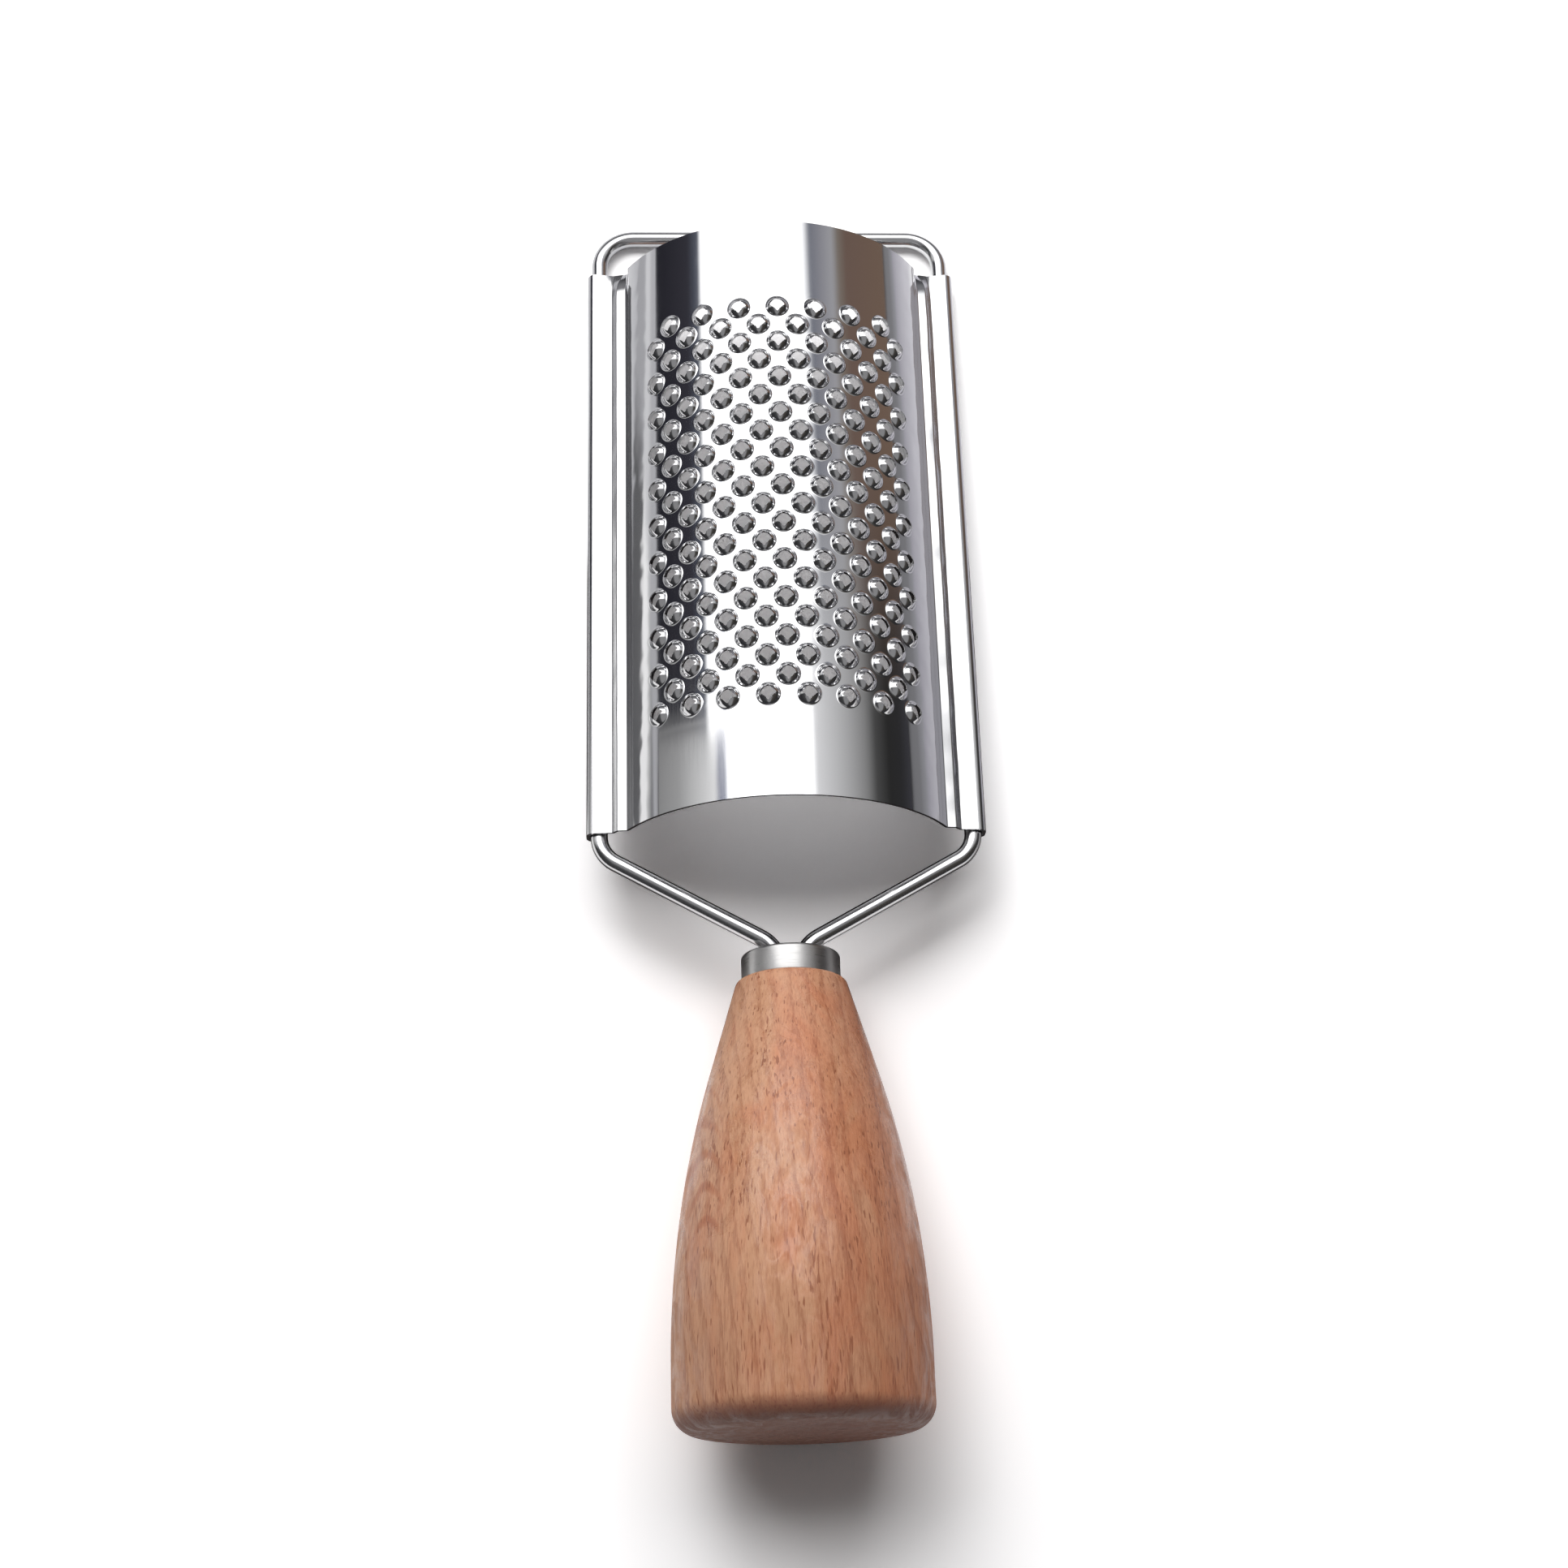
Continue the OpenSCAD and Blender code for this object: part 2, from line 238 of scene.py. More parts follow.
class SheetShape:
    """The cross-section of the sheet: arch, flange, step, strip and rolled edge, by length from the crown."""

    # Radii of the bends from the arch to the flange, the step and the strip, and one step along any bend
    FILLETS = (0.3 * MM, 0.55 * MM, 0.35 * MM)
    BEND_STEP = radians(7)

    def __init__(self, sheet, wire):
        self.thickness = sheet.thickness
        self.curl_out = wire.diameter / 2 + sheet.curl_gap + sheet.thickness
        self.side = wire.width / 2 - self.curl_out
        self.arch = sheet.arch_radius
        self.arch_z = sheet.crown_height - sheet.arch_radius
        # Corners of the outer face, from the top of the roll back to the arch
        centre = Vector((0, self.arch_z))
        back = [Vector((-cos(slope), sin(slope)))
                for slope in (sheet.strip_slope, sheet.step_slope, sheet.flange_slope)]
        rest = self.curl_out - sheet.roll_corner
        top = Vector((self.side + rest + sheet.roll_corner * sin(sheet.strip_slope),
                      rest + sheet.roll_corner * cos(sheet.strip_slope)))
        step_head = top + sheet.strip_length * back[0] + sheet.step_length * back[1]
        out = step_head - centre
        nearer = -out.dot(back[2])
        flange = nearer - sqrt(nearer ** 2 - out.length_squared + self.arch ** 2)
        corner = step_head + flange * back[2] - centre
        foot_angle = atan2(corner.x, corner.y)
        # Straight lengths, then turns to a slope with a radius; each turn takes its share of both lengths
        slopes = (foot_angle, sheet.flange_slope, sheet.step_slope, sheet.strip_slope)
        radii = self.FILLETS
        trims = [r * tan(abs(b - a) / 2) for r, a, b in zip(radii, slopes, slopes[1:])]
        moves = ((0, sheet.flange_slope, radii[0]),
                 (flange - trims[0] - trims[1], sheet.step_slope, radii[1]),
                 (sheet.step_length - trims[1] - trims[2], sheet.strip_slope, radii[2]),
                 (sheet.strip_length - trims[2], pi / 2, sheet.roll_corner),
                 (2 * rest, pi, sheet.roll_corner),
                 (rest, pi / 2 + sheet.curl_end, self.curl_out))
        self.foot = self.arch * foot_angle - trims[0]
        place = corner + centre - trims[0] * Vector((cos(foot_angle), -sin(foot_angle)))
        self.track = [(self.foot, place, foot_angle)]
        for straight, slope, radius in moves:
            run, place, now = self.track[-1]
            place = place + straight * Vector((cos(now), -sin(now)))
            run += straight
            if straight:
                self.track.append((run, place, now))
            hand = copysign(1, slope - now)
            hub = place - hand * radius * Vector((sin(now), cos(now)))
            count = ceil(abs(slope - now) / self.BEND_STEP)
            for k in range(1, count + 1):
                turned_to = now + (slope - now) * k / count
                rim = hub + hand * radius * Vector((sin(turned_to), cos(turned_to)))
                self.track.append((run + radius * abs(turned_to - now), rim, turned_to))
        self.step = self.foot + flange + sheet.step_length / 2

    def at(self, run, lift):
        """Place in the section, from the run along it and the lift over its outer face."""
        s = abs(run)
        if s <= self.foot:
            a = s / self.arch
            x, z = (self.arch + lift) * sin(a), self.arch_z + (self.arch + lift) * cos(a)
        else:
            k = next((k for k, (far, _, _) in enumerate(self.track) if s <= far), len(self.track) - 1)
            (near, start, a), (far, stop, b) = self.track[k - 1], self.track[k]
            share = (s - near) / (far - near)
            slope = a + (b - a) * share
            x, z = start + (stop - start) * share + lift * Vector((sin(slope), cos(slope)))
        return (-x if run < 0 else x), z


class SheetBuilder:
    """Collects the points and faces of the sheet, outer face first, in runs across and lengths along."""

    # Segments of a quarter of a tooth's tile, and lines beside the field and beyond each end of it
    QUARTER, SIDE_LINES, END_LINES = 8, 14, 16
    # Depths in millimetres: ripples beside the teeth, crimps at the step and more of them at the right one, swells
    # all over, and the pressed end of the flange
    RIPPLE, CRIMP, LOOSE_CRIMP, SWELL, PRESSED = 0.05, 0.06, 0.09, 0.03, 1.5
    # Wall of a tooth: fillet outside and inside its foot, slopes at its foot and at its points, share lost there
    FILLET_OUT, FILLET_IN = 0.16 * MM, 0.14 * MM
    STEEP, FLAT = radians(58), radians(24)
    THINNING = 0.85
    # How much the height of the teeth and the reach of their torn edge vary
    HEIGHT_SPREAD, TEAR_SPREAD, TEAR_STEP = 0.06, 0.07, 0.03
    # Rings of a tooth: shares of the way to its fillet, then of the fillet (below 0) and of the wall (above 0)
    FLAT_RINGS = (0.45, 0.8)
    WALL_RINGS = (-1, -0.7, -0.4, -0.18, 0, 0.12, 0.25, 0.4, 0.55, 0.7, 0.85, 1)

    def __init__(self, sheet, wire):
        self.sheet = sheet
        self.shape = SheetShape(sheet, wire)
        self.half_column = sheet.column_pitch / 2
        self.first_row = sheet.start + (sheet.length + (sheet.rows - 1) * sheet.row_pitch) / 2 + sheet.field_shift
        self.field_half = (sheet.columns + 1) * self.half_column
        self.field_far = self.site(0, -1)[1]
        self.field_near = self.site(0, sheet.rows)[1]
        self.points = []
        self.faces = []
        self.known = {}
        self.rng = random.Random(7)

    def wave(self, run, along):
        """Small unevenness that bending and rolling leave in the sheet."""
        s = abs(run)

        def uneven(across, lengthwise, seed):
            return noise.noise(Vector((run / (across * MM), along / (lengthwise * MM), seed)))

        beside_teeth = max(0.0, 1 - abs(s - self.half_column * (self.sheet.columns + 1.4)) / (2.4 * MM))
        # The right edge is rolled less evenly than the left one
        loose = 1 if run > 0 else 0
        at_step = max(0.0, 1 - abs(s - self.shape.step) / ((1.2 + 0.7 * loose) * MM))
        # The flange is pressed down at the end next to the top bar
        to_end = self.sheet.start + self.sheet.length - along
        on_flange = max(0.0, 1 - ((s - self.shape.step + 0.9 * MM) / (2.2 * MM)) ** 2)
        pressed = on_flange * max(0.0, 1 - to_end / (5 * MM)) ** 2
        crimped = (self.CRIMP + self.LOOSE_CRIMP * loose) * uneven(1.6, 4.5, 5.3) * at_step
        return (self.RIPPLE * uneven(2.6, 2.3, 3.1) * beside_teeth + crimped + self.SWELL * uneven(22, 26, 8.7)
                - self.PRESSED * pressed) * MM

    def point(self, run, along, lift, shared=None):
        """Index of a point, made once for each place on a face that tiles share."""
        key = None
        if shared is not None:
            key = (round(run / MM * 1000), round(along / MM * 1000), shared)
            if key in self.known:
                return self.known[key]
        x, z = self.shape.at(run, lift + self.wave(run, along))
        self.points.append((x, along, z))
        index = len(self.points) - 1
        if key:
            self.known[key] = index
        return index

    def skin(self, run, along, inner):
        """Shared point on the outer or the inner face."""
        return self.point(run, along, -self.shape.thickness if inner else 0, inner)

    def add_both(self, cell):
        """One face of the outer skin, and the one of the inner skin under it."""
        self.faces.append([self.skin(u, v, False) for u, v in cell])
        self.faces.append([self.skin(u, v, True) for u, v in reversed(cell)])

    def within(self, u, v, slack):
        """Whether a place lies in the field of teeth, widened by the slack."""
        return abs(u) < self.field_half + slack and self.field_near - slack < v < self.field_far + slack

    def site(self, i, j):
        return i * self.half_column, self.first_row - j * self.sheet.row_pitch

    def tooth(self, i, j):
        """Tile of one tooth: flat, flared wall, four torn points, inner wall and underside."""
        sheet = self.sheet
        u0, v0 = self.site(i, j)
        quarter = self.QUARTER
        corners = ((self.half_column, 0), (0, sheet.row_pitch), (-self.half_column, 0), (0, -sheet.row_pitch))
        count = 4 * quarter
        turns = [TURN * q / count for q in range(count)]
        reach = sheet.hole_width / 2
        spread = sheet.tooth_radius + self.FILLET_OUT
        foot = sheet.tooth_radius - self.FILLET_IN
        tears = [1 + self.TEAR_SPREAD * (self.rng.random() - 0.5) + (self.TEAR_STEP if q % 2 else -self.TEAR_STEP)
                 for q in range(count)]
        grow = 1 + self.HEIGHT_SPREAD * (self.rng.random() - 0.5)
        # In section the wall is a fillet, then an arc that is steep at the foot and flatter at the torn points
        fillet = (spread - foot) / sin(self.STEEP)
        root = fillet * (1 - cos(self.STEEP))
        bulge = (foot - reach) / (sin(self.STEEP) - sin(self.FLAT))
        middle = foot - bulge * sin(self.STEEP)
        rise = (sheet.tooth_height - root) / (bulge * (cos(self.FLAT) - cos(self.STEEP)))
        border = []
        for q in range(count):
            (ax, ay), (bx, by) = corners[q // quarter], corners[(q // quarter + 1) % 4]
            t = (q % quarter) / quarter
            border.append((ax + (bx - ax) * t, ay + (by - ay) * t))
        outer_rings, inner_rings = [[[self.skin(u0 + x, v0 + y, inner) for x, y in border]]
                                    for inner in (False, True)]

        def add_rings(places):
            """One ring on each face, from pairs of places as x, y and lift."""
            pairs = [[self.point(u0 + x, v0 + y, lift) for x, y, lift in pair] for pair in places]
            for rings, ring in zip((outer_rings, inner_rings), zip(*pairs)):
                rings.append(ring)

        for share in self.FLAT_RINGS:
            flats = [(x + (spread * cos(a) - x) * share, y + (spread * sin(a) - y) * share)
                     for a, (x, y) in zip(turns, border)]
            add_rings([((x, y, 0), (x, y, -sheet.thickness)) for x, y in flats])
        for w in self.WALL_RINGS:
            places = []
            for q, a in enumerate(turns):
                off_point = abs((q % quarter) / quarter - 0.5) * pi / 2
                edge = reach / cos(off_point) * tears[q]
                if w < 0:
                    r = foot - (spread - foot) * w
                    lean = asin((spread - r) / fillet)
                    lift = fillet * (1 - cos(lean)) * grow
                else:
                    r = foot + (edge - foot) * w
                    lean = asin((r - middle) / bulge)
                    lift = (root + rise * bulge * (cos(lean) - cos(self.STEEP))) * grow
                thick = sheet.thickness * (1 - self.THINNING * max(0, w) ** 2)
                rin = r - thick * sin(lean)
                low = lift - thick * cos(lean)
                places.append(((r * cos(a), r * sin(a), lift), (rin * cos(a), rin * sin(a), low)))
            add_rings(places)
        rings = outer_rings + inner_rings[::-1]
        for near, far in zip(rings, rings[1:]):
            for q in range(count):
                after = (q + 1) % count
                self.faces.append((near[q], near[after], far[after], far[q]))

    def blank(self, i, j):
        """Tile without a tooth, cut at the edge of the field."""
        u0, v0 = self.site(i, j)
        m = self.QUARTER
        for a in range(m):
            for b in range(m):
                cell = []
                for da, db in ((0, 0), (1, 0), (1, 1), (0, 1)):
                    u = u0 + self.half_column * (a + da - b - db) / m
                    v = v0 + self.sheet.row_pitch * ((a + da + b + db) / m - 1)
                    if self.within(u, v, SLACK):
                        cell.append((u, v))
                if len(cell) > 2:
                    self.add_both(cell)

    def field(self):
        """All teeth, and the blank tiles that make their field a rectangle."""
        sheet = self.sheet
        width = sheet.columns + 1
        for j in range(-1, sheet.rows + 1):
            parity = (sheet.columns - 1 + j) % 2
            for i in range(-width, width + 1):
                if (i - parity) % 2:
                    continue
                if 0 <= j < sheet.rows and abs(i) <= sheet.columns - 1 + j % 2:
                    self.tooth(i, j)
                else:
                    self.blank(i, j)

    def lines(self):
        """Runs and lengths of the grid round the field."""
        sheet, shape, m = self.sheet, self.shape, self.QUARTER
        half = m * (sheet.columns + 1) // 2
        across = [self.half_column * 2 * k / m for k in range(-half, half + 1)]
        side = [self.field_half + (shape.foot - self.field_half) * k / self.SIDE_LINES
                for k in range(1, self.SIDE_LINES)]
        side += [run for run, _, _ in shape.track]
        runs = [-s for s in reversed(side)] + across + side
        rows = sheet.rows + 1
        field_lines = [self.field_near + sheet.row_pitch * 2 * k / m for k in range(rows * m // 2 + 1)]
        margin = self.field_near - sheet.start
        near = [sheet.start + margin * k / self.END_LINES for k in range(self.END_LINES)]
        far = [self.field_far + margin * k / self.END_LINES for k in range(1, self.END_LINES + 1)]
        return runs, near + field_lines + far

    def grid(self):
        """Plain sheet round the field, its folds, rolled edges and cut ends."""
        runs, lengths = self.lines()
        for u, u2 in zip(runs, runs[1:]):
            for v, v2 in zip(lengths, lengths[1:]):
                if not self.within((u + u2) / 2, (v + v2) / 2, -SLACK):
                    self.add_both(((u, v), (u2, v), (u2, v2), (u, v2)))
        edges = [((u, v), (u2, v), flip) for v, flip in ((lengths[0], False), (lengths[-1], True))
                 for u, u2 in zip(runs, runs[1:])]
        edges += [((u, v), (u, v2), flip) for u, flip in ((runs[0], True), (runs[-1], False))
                  for v, v2 in zip(lengths, lengths[1:])]
        for start, stop, flip in edges:
            face = [self.skin(*place, inner) for place, inner in
                    ((start, False), (start, True), (stop, True), (stop, False))]
            self.faces.append(face[::-1] if flip else face)


# Wire

def bend(centre, radius, start, end, step):
    """Places along a bend of the wire as x, y and heading; it turns left where the heading grows."""
    side = copysign(1, end - start)
    count = ceil(abs(end - start) / step)
    headings = [start + (end - start) * i / count for i in range(count + 1)]
    return [(centre[0] + side * radius * sin(h), centre[1] - side * radius * cos(h), h) for h in headings]


def wire_route(sheet, wire):
    """Route of the wire from the end of its right tang round the top bar to the end of its left one."""
    shape = SheetShape(sheet, wire)
    tang = wire.tang_gap / 2
    side = shape.side
    bar = sheet.start + sheet.length + wire.bar_reach
    bend_x = side - wire.arm_radius
    dx, dy = bend_x - tang, sheet.start - wire.neck_height
    angle = atan2(dy, dx) - asin(wire.arm_radius / hypot(dx, dy))
    neck_y = wire.neck_height - wire.neck_radius * tan((pi / 2 - angle) / 2)
    step = WIRE_STEP
    half = [(tang, -wire.tang_length, pi / 2)]
    half += bend((tang + wire.neck_radius, neck_y), wire.neck_radius, pi / 2, angle, step)
    half += bend((bend_x, sheet.start), wire.arm_radius, angle, pi / 2, step)
    corner = (side - wire.corner_radius, bar - wire.corner_radius)
    half += bend(corner, wire.corner_radius, pi / 2, pi, step)
    return half + [(-x, y, TURN - h) for x, y, h in reversed(half)]


def swept(route, radius, sides):
    """Tube along a flat route, closed at both ends."""
    points = []
    for x, y, heading in route:
        for k in range(sides):
            a = TURN * k / sides
            out = radius * cos(a)
            points.append((x - out * sin(heading), y + out * cos(heading), radius * sin(a)))
    faces = [tuple(reversed(range(sides)))]
    for i in range(len(route) - 1):
        near, far = i * sides, (i + 1) * sides
        for k in range(sides):
            after = (k + 1) % sides
            faces.append((near + k, near + after, far + after, far + k))
    last = (len(route) - 1) * sides
    faces.append(tuple(range(last, last + sides)))
    return points, faces


# Finishes

class Nodes:
    """Short names for the nodes of one tree."""

    def __init__(self, tree):
        self.tree = tree
        tree.nodes.clear()

    def link(self, source, target):
        self.tree.links.new(source, target)

    def feed(self, socket, value):
        """Links a socket to the output of a node, or sets it to a number or a colour."""
        if isinstance(value, bpy.types.NodeSocket):
            self.link(value, socket)
        elif value is not None:
            socket.default_value = value if isinstance(value, (int, float)) else tuple(value)

    def add(self, kind, inputs=None, **values):
        """Adds a shader node of a kind with the given values, and feeds its inputs by name or number."""
        node = self.tree.nodes.new("ShaderNode" + kind)
        for key, value in values.items():
            setattr(node, key, value)
        for key, value in (inputs or {}).items():
            self.feed(node.inputs[key], value)
        return node

    def split(self, vector):
        return self.add("SeparateXYZ", {0: vector}).outputs

    def place(self, scale):
        """Coordinates along the tool: turned back from the way it lies and stretched by scale."""
        coords = self.add("TexCoord").outputs["Object"]
        turn = self.add("Mapping", {"Vector": coords, "Location": tool_frame().translation,
                                    "Rotation": tool_frame().to_euler()}, vector_type="TEXTURE")
        return self.add("Mapping", {"Vector": turn.outputs[0], "Scale": scale}).outputs[0]

    def noise(self, vector, scale, detail=2.0, distortion=0.0, roughness=0.5):
        return self.add("TexNoise", {"Vector": vector, "Scale": scale, "Detail": detail,
                                     "Distortion": distortion, "Roughness": roughness}).outputs["Fac"]

    def grain(self, along, scale, *details):
        """Noise with the given share of its scale along the tool."""
        return self.noise(self.place((1, along, 1)), scale, *details)

    def span(self, value, low, high, to_low=0.0, to_high=1.0, smooth=False):
        node = self.add("MapRange", {"Value": value, "From Min": low, "From Max": high, "To Min": to_low,
                                     "To Max": to_high})
        if smooth:
            node.interpolation_type = "SMOOTHSTEP"
        return node.outputs["Result"]

    def math(self, operation, first, second=None):
        return self.add("Math", {0: first, 1: second}, operation=operation).outputs[0]

    def plus(self, first, second):
        return self.math("ADD", first, second)

    def times(self, first, second):
        return self.math("MULTIPLY", first, second)

    def mix(self, factor, first, second, blend="MIX"):
        return self.add("Mix", {0: factor, 6: first, 7: second}, data_type="RGBA", blend_type=blend).outputs[2]

    def ramp(self, value, stops):
        """Colours by value, from stops whose tints are colours or one number for a grey."""
        node = self.add("ValToRGB", {"Fac": value})
        elements = node.color_ramp.elements
        elements.remove(elements[-1])
        for k, (place, tint) in enumerate(stops):
            element = elements.new(place) if k else elements[0]
            element.color = (*tint, 1) if isinstance(tint, tuple) else (tint, tint, tint, 1)
        return node.outputs["Color"]

    def bump(self, height, distance, strength=1.0, normal=None):
        return self.add("Bump", {"Height": height, "Distance": distance, "Strength": strength,
                                 "Normal": normal}).outputs["Normal"]


class Finish(Nodes):
    """Short names for the nodes of one material, with its shader and output."""

    def __init__(self, name):
        self.material = bpy.data.materials.new(name)
        self.material.use_nodes = True
        super().__init__(self.material.node_tree)
        self.output = self.add("OutputMaterial")
        self.shader = self.add("BsdfPrincipled")
        self.link(self.shader.outputs["BSDF"], self.output.inputs["Surface"])

    def set(self, **values):
        """Feeds inputs of the shader, with _ for each space in their names."""
        for key, value in values.items():
            self.feed(self.shader.inputs[key.replace("_", " ")], value)


def toned(colour, share):
    """A colour made darker or lighter."""
    return tuple(c * share for c in colour[:3]) + (1,)


def polished_steel(name, roughness, dull_from=None):
    """Mirror-bright stainless steel with faint lines from polishing along the tool.

    Beyond the given distance from the middle of the tool, it has the duller face that rolling leaves.
    """
    finish = Finish(name)
    colour = bpy.context.scene.grater_finish.steel
    lines = finish.grain(0.02, 9000, 3.0)
    cloud = finish.grain(1, 70, 3.0)
    rough = finish.plus(finish.span(lines, 0.3, 0.7, 0, roughness * 0.5),
                        finish.span(cloud, 0.3, 0.7, roughness * 0.6, roughness))
    soft = finish.bump(finish.grain(0.5, 55, 1.0), 0.05 * MM, 0.6)
    if dull_from:
        off = finish.math("ABSOLUTE", finish.split(finish.place((1, 1, 1)))["X"])
        rough = finish.plus(rough, finish.span(off, dull_from, dull_from + MM, 0, 0.08, smooth=True))
    finish.set(Metallic=1.0, Base_Color=finish.mix(cloud, toned(colour, 0.96), colour), Roughness=rough,
               Normal=finish.bump(lines, 0.0006 * MM, 0.4, soft))
    return finish.material


def ferrule_steel():
    """Drawn steel, turned to a fine sheen round the handle."""
    finish = Finish("Ferrule steel")
    colour = bpy.context.scene.grater_finish.ferrule
    rings = finish.noise(finish.place((0.03, 1, 0.03)), 7000, 3.0)
    cloud = finish.grain(1, 300, 3.0)
    finish.set(Metallic=1.0, Base_Color=finish.mix(cloud, toned(colour, 0.85), colour),
               Roughness=finish.span(rings, 0.3, 0.7, 0.27, 0.4), Normal=finish.bump(rings, 0.006 * MM, 0.5))
    return finish.material


def beech_loops(finish, where, clouds):
    """A row of loops on the left flank, where the growth rings are cut lengthwise."""
    left, half_width, bow_depth, pitch, behind = 15.5 * MM, 2.8 * MM, 3.5 * MM, 5.7 * MM, 37 * MM
    aside = finish.math("DIVIDE", finish.plus(where["X"], left), half_width)
    bow = finish.times(finish.times(aside, aside), bow_depth)
    phase = finish.times(finish.plus(where["Y"], bow), TURN / pitch)
    loops = finish.span(finish.math("SINE", finish.plus(phase, finish.times(clouds, 7))), 0.35, 1)
    middle = finish.math("ABSOLUTE", finish.plus(where["Y"], behind))
    for place, near, far in ((finish.math("ABSOLUTE", aside), 0.4, 1.2), (middle, 10 * MM, 20 * MM),
                             (where["Z"], 5 * MM, 0)):
        loops = finish.times(loops, finish.span(place, near, far, 1, 0))
    return loops


def beech():
    """Sanded and oiled beech: growth rings, fine streaks, patches of hue, and short dark pores along the grain,
    with painted sheen and shade across the handle and painted shade towards the butt.
    """
    finish = Finish("Beech")
    colours = bpy.context.scene.grater_finish
    # Growth rings: cylinders about the heart of the tree, which lay to the left of the handle, so that they run
    # straight down its middle
    heart = finish.add("Mapping", {"Vector": finish.place((1, 0.7, 1)), "Location": (38 * MM, 0, -4 * MM),
                                   "Rotation": (radians(4), 0, radians(-11))})
    rings = finish.add("TexWave", {"Vector": heart.outputs[0], "Scale": 120, "Distortion": 3.5,
                                   "Detail": 3, "Detail Scale": 1.2},
                       wave_type="RINGS", rings_direction="Y", wave_profile="SAW")
    late = finish.span(rings.outputs["Fac"], 0.45, 1.0, smooth=True)
    streaks = finish.grain(0.055, 1900, 5.0, 0.4, 0.65)
    fibres = finish.grain(0.13, 3400, 3.0, 0.3, 0.6)
    clouds = finish.grain(0.4, 85, 4.0, 0.8, 0.6)
    where = finish.split(finish.place((1, 1, 1)))
    loops = beech_loops(finish, where, clouds)
    tone = finish.plus(finish.times(late, 0.17), finish.times(loops, 0.24))
    for part, share in ((streaks, 0.7), (fibres, 0.75), (clouds, 0.35)):
        tone = finish.plus(tone, finish.times(part, share))
    wood = finish.mix(finish.span(tone, 0.84, 1.16), colours.beech_light, colours.beech_dark)
    # Redder wood in patches and in the loops. Paler wood to the left and redder, darker wood to the right is
    # painted sheen and painted shade across the handle.
    patches = finish.grain(0.4, 95, 5.0, 1.6, 0.6)
    patches_and_painted_side_light = finish.plus(finish.span(patches, 0.35, 0.65, -0.55, 0.55), finish.span(where["X"], -14 * MM, 14 * MM))
    patch_and_painted_side_tint = finish.mix(patches_and_painted_side_light, (1, 1.07, 1.1, 1), (0.95, 0.8, 0.74, 1))
    # Painted shade: the wood is darker towards the butt, where the sheen fades
    painted_shade_toward_butt = finish.span(where["Y"], -74 * MM, -44 * MM, 1, 0, smooth=True)
    for share, shade in ((1, patch_and_painted_side_tint), (loops, (1, 0.84, 0.74, 1)), (painted_shade_toward_butt, (0.87, 0.84, 0.81, 1))):
        wood = finish.mix(share, wood, shade, "MULTIPLY")
    # Short pores, deeper in tone than the wood round them
    crowd = finish.span(finish.grain(0.3, 140, 1.0), 0.3, 0.7, 0.7, 0.6)
    pores = finish.span(finish.math("SUBTRACT", finish.grain(0.12, 2500, 1.0), crowd), 0.0, 0.05, 0, 0.8)
    wood = finish.mix(pores, wood, colours.pore)
    # The rounding at the butt and the end grain behind it drink more oil
    handle = bpy.context.scene.grater_handle
    butt = -(handle.ferrule_length + handle.length)
    oiled = finish.span(where["Y"], butt + 1.2 * MM, butt + 4 * MM, 0.75, 0, smooth=True)
    wood = finish.mix(oiled, wood, colours.end_grain)
    # The oil has left the surface glossy in some patches and dull in others, above all where the hand holds it
    gloss = finish.grain(0.45, 260, 6.0, 1.0, 0.72)
    worn = finish.span(where["Y"], -62 * MM, -40 * MM, 0.22, 0, smooth=True)
    rough = finish.plus(finish.span(gloss, 0.42, 0.58, 0.54, 0.17), worn)
    bumps = finish.bump(finish.grain(0.5, 110, 1.0, 0.5), 0.9 * MM, 0.6)
    for height, depth, strength in ((streaks, 0.06, 0.6), (fibres, 0.05, 0.6), (pores, -0.02, 0.5)):
        bumps = finish.bump(height, depth * MM, strength, bumps)
    finish.set(Base_Color=wood, Roughness=rough, Specular_IOR_Level=0.8, IOR=1.5, Normal=bumps)
    return finish.material


def hard_glue():
    """Hardened glue, clouded and slightly uneven."""
    finish = Finish("Hard glue")
    colour = bpy.context.scene.grater_finish.glue
    cloud = finish.grain(1, 900, 4.0)
    finish.set(Base_Color=finish.mix(cloud, toned(colour, 0.6), colour),
               Roughness=finish.span(cloud, 0.3, 0.7, 0.35, 0.6), Normal=finish.bump(cloud, 0.1 * MM, 0.6))
    return finish.material


class GRATER_OT_sheet(bpy.types.Operator):
    """Build the punched sheet with its flanges and rolled edges"""
    bl_idname = "grater.sheet"
    bl_label = "Grating Sheet"

    def execute(self, context):
        scene = context.scene
        builder = SheetBuilder(scene.grater_sheet, scene.grater_wire)
        builder.field()
        builder.grid()
        foot_x, _ = builder.shape.at(builder.shape.foot, 0)
        steel = polished_steel("Polished sheet", scene.grater_finish.sheet_gloss, foot_x)
        add_piece("punched_sheet", builder.points, builder.faces, SHEET_SHARP, steel,
                  "grating_sheet")
        return {"FINISHED"}


class GRATER_OT_wire(bpy.types.Operator):
    """Build the bent wire of the frame"""
    bl_idname = "grater.wire"
    bl_label = "Wire Frame"

    def execute(self, context):
        scene = context.scene
        wire = scene.grater_wire
        points, faces = swept(wire_route(scene.grater_sheet, wire), wire.diameter / 2, WIRE_SIDES)
        steel = polished_steel("Polished wire", scene.grater_finish.wire_gloss)
        add_piece("bent_wire", points, faces, SHEET_SHARP, steel, "wire_frame")
        return {"FINISHED"}


